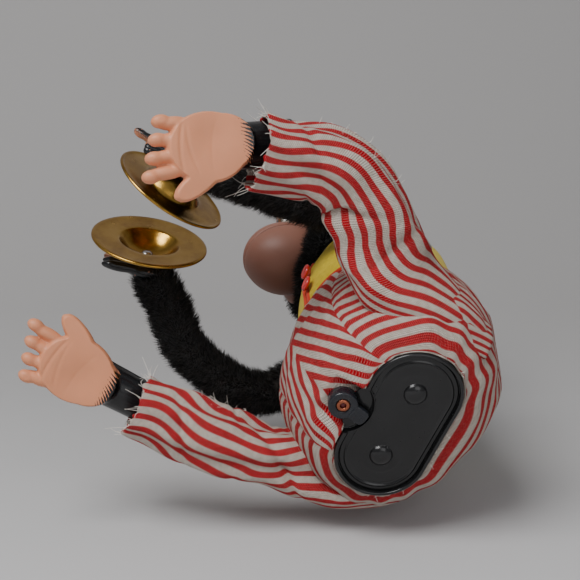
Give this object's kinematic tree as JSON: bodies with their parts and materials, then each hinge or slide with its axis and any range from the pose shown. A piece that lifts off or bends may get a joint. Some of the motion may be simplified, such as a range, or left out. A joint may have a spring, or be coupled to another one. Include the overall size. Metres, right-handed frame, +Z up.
{
  "type": "cymbal-playing monkey toy",
  "caption": "Battery-operated plush chimp toy sitting on a black battery base, with striped trousers, vinyl hands and feet and brass cymbals it claps together.",
  "frame": {"origin": "middle of the battery base's foot, on the surface that it stands on", "axes": "+Z up, -Y the way the chimp faces, +X to the chimp's left"},
  "size_m": [0.1844, 0.2189, 0.2396],
  "materials": {
    "base_plastic": "satin moulded black",
    "switch_plastic": "glossy blue-black",
    "eyelet_copper": "aged copper",
    "steel": "zinc plated",
    "white_plastic": "natural nylon",
    "cymbal_brass": "lacquered brass",
    "black_plush": "long pile plush",
    "striped_cotton": "red and cream woven stripe",
    "yellow_felt": "felt",
    "red_plastic": "glossy",
    "flesh_vinyl": "soft vinyl, painted black above",
    "eye_plastic": "glossy"
  },
  "bodies": {
    "chassis": {"battery_box": "base_plastic", "contact_spring_left": "steel", "contact_spring_right": "steel", "mechanism_base_plate": "steel", "gear_plate_front": "steel", "gear_plate_rear": "steel", "plate_pillar_1": "cymbal_brass", "plate_pillar_2": "cymbal_brass", "plate_pillar_3": "cymbal_brass", "plate_pillar_4": "cymbal_brass", "motor": "steel", "squeaker_bellows": "white_plastic", "squeaker_reed": "base_plastic", "shoulder_bridge": "steel", "neck_post": "steel", "body_plush": "black_plush", "trousers": "striped_cotton", "vest": "yellow_felt", "vest_button_1": "red_plastic", "vest_button_2": "red_plastic"},
    "cover": {"battery_cover": "base_plastic", "contact_strip": "steel"},
    "switch": {"switch_lever": "switch_plastic", "switch_eyelet": "eyelet_copper"},
    "motor_gear": {"motor_pinion": "cymbal_brass"},
    "middle_gear": {"reduction_wheel": "white_plastic", "reduction_pinion": "cymbal_brass"},
    "crankshaft": {"drive_gear": "white_plastic", "crank_disc": "white_plastic"},
    "head": {"skull_plush": "black_plush", "face_mask": "flesh_vinyl", "eye_left": "eye_plastic", "eye_right": "eye_plastic", "ear_left": "flesh_vinyl", "ear_right": "flesh_vinyl", "head_pin": "steel"},
    "lower_jaw": {"jaw": "flesh_vinyl"},
    "left_arm": {"arm_lever_left": "steel", "arm_wire_left": "steel", "arm_sleeve_left": "black_plush", "hand_left": "flesh_vinyl", "cymbal_left": "cymbal_brass", "cymbal_rivet_left": "steel"},
    "left_leg": {"trouser_leg_left": "striped_cotton", "foot_left": "flesh_vinyl"},
    "right_arm": {"arm_lever_right": "steel", "arm_wire_right": "steel", "arm_sleeve_right": "black_plush", "hand_right": "flesh_vinyl", "cymbal_right": "cymbal_brass", "cymbal_rivet_right": "steel"},
    "right_leg": {"trouser_leg_right": "striped_cotton", "foot_right": "flesh_vinyl"}
  },
  "joints": [
    {"name": "cover_lift", "type": "slide", "parent": "chassis", "child": "cover", "axis": [0, 0, -1], "range_m": [0, 0.08]},
    {"name": "switch_swing", "type": "hinge", "parent": "chassis", "child": "switch", "pos_m": [0, -0.0266, 0], "axis": [0, 0, 1], "range_deg": [-28, 2]},
    {"name": "motor_spin", "type": "hinge", "parent": "chassis", "child": "motor_gear", "pos_m": [-0.013, 0, 0.0841], "axis": [0, 1, 0], "continuous": true},
    {"name": "middle_spin", "type": "hinge", "parent": "chassis", "child": "middle_gear", "pos_m": [0.00345, 0, 0.0841], "axis": [0, 1, 0], "continuous": true},
    {"name": "crank_spin", "type": "hinge", "parent": "chassis", "child": "crankshaft", "pos_m": [0.00345, 0, 0.10055], "axis": [0, 1, 0], "continuous": true},
    {"name": "left_arm_swing", "type": "hinge", "parent": "chassis", "child": "left_arm", "pos_m": [0.03, 0.003, 0.146], "axis": [0, 0, 1], "range_deg": [-5, 22]},
    {"name": "right_arm_swing", "type": "hinge", "parent": "chassis", "child": "right_arm", "pos_m": [-0.03, 0.003, 0.146], "axis": [0, 0, 1], "range_deg": [-22, 5]},
    {"name": "left_hip", "type": "hinge", "parent": "chassis", "child": "left_leg", "pos_m": [0.045, -0.029, 0.03], "axis": [1, 0, 0], "range_deg": [-15, 15]},
    {"name": "right_hip", "type": "hinge", "parent": "chassis", "child": "right_leg", "pos_m": [-0.046, -0.029, 0.025], "axis": [1, 0, 0], "range_deg": [-15, 15]},
    {"name": "head_nod", "type": "hinge", "parent": "chassis", "child": "head", "pos_m": [0, 0.003, 0.158], "axis": [0.9613, -0.2756, 0], "range_deg": [-10, 5]},
    {"name": "jaw_open", "type": "hinge", "parent": "head", "child": "lower_jaw", "pos_m": [-0.00987, -0.02248, 0.1757], "axis": [0.9519, -0.2756, 0.1338], "range_deg": [0, 8]}
  ],
  "couplings": [
    {"joint": "right_arm_swing", "follows": "left_arm_swing", "ratio": -1},
    {"joint": "middle_spin", "follows": "crank_spin", "ratio": -3},
    {"joint": "motor_spin", "follows": "crank_spin", "ratio": 9}
  ]
}
